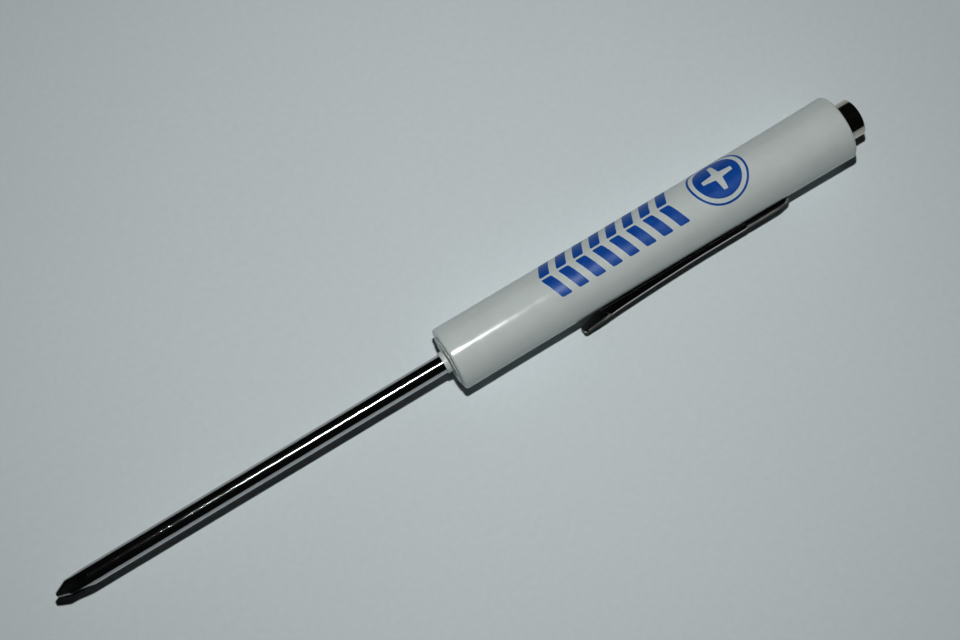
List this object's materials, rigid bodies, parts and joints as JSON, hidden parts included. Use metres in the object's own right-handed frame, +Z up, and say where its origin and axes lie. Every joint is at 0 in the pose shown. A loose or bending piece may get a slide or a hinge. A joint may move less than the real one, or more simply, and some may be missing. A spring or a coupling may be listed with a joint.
{
  "type": "pocket screwdriver",
  "caption": "Slim pocket screwdriver with a round cross-point blade, a plastic barrel with a sprung pocket clip, and a rod magnet in its top end.",
  "frame": {"origin": "middle of the tool's footprint on the surface that it lies on", "axes": "+X along the tool from the blade's point to the magnet, +Z up, the clip on the -Y side"},
  "size_m": [0.145, 0.0128, 0.0111],
  "materials": {
    "white_plastic": "glossy white moulded plastic",
    "white_core_plastic": "white plastic, a little duller than the barrel",
    "chromed_steel": "bright chrome over a finely drawn bar",
    "plated_magnet": "bright nickel plating",
    "plated_spring_steel": "bright plating over rolled strip"
  },
  "bodies": {
    "handle": {"barrel": "white_plastic", "front_plug": "white_core_plastic", "rear_plug": "white_core_plastic", "blade": "chromed_steel", "magnet": "plated_magnet"},
    "clip": {"pocket_clip": "plated_spring_steel"}
  },
  "joints": [
    {"name": "clip_flex", "type": "hinge", "parent": "handle", "child": "clip", "pos_m": [0.0564, -0.00369, 0.00277], "axis": [0, -0.5225, 0.8526], "range_deg": [0, 4], "stiffness_Nm_per_rad": 0.8}
  ]
}
